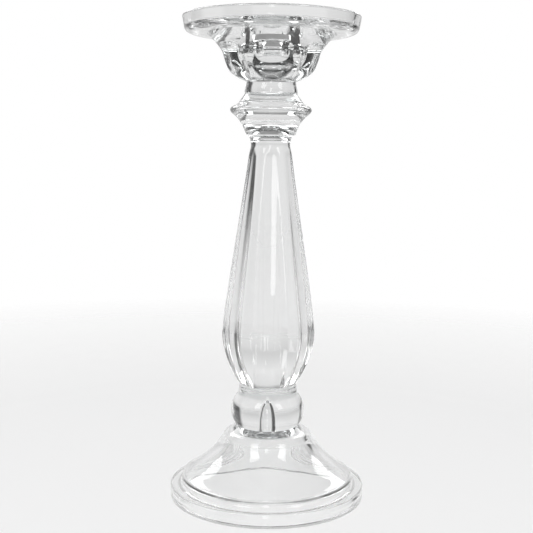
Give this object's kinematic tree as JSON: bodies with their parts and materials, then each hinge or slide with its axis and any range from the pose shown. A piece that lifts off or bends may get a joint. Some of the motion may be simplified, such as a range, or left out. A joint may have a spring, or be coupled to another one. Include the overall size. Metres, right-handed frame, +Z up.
{
  "type": "glass candlestick",
  "caption": "Tall clear glass candlestick with a fluted stem on a bell foot, and a rimmed plate over a cup that holds a pillar or a taper candle.",
  "frame": {"origin": "centre of the ring face that the candlestick stands on", "axes": "+Z up the stem, towards the plate; a flute of the stem faces -Y and a rib faces +X"},
  "size_m": [0.104, 0.104, 0.254],
  "materials": {
    "clear_glass": "polished clear"
  },
  "bodies": {
    "root": {"foot": "clear_glass", "ball_knop": "clear_glass", "stem_collar": "clear_glass", "fluted_stem": "clear_glass", "diamond_knop": "clear_glass", "cup_collar": "clear_glass", "candle_cup": "clear_glass", "pillar_plate": "clear_glass"}
  },
  "joints": []
}
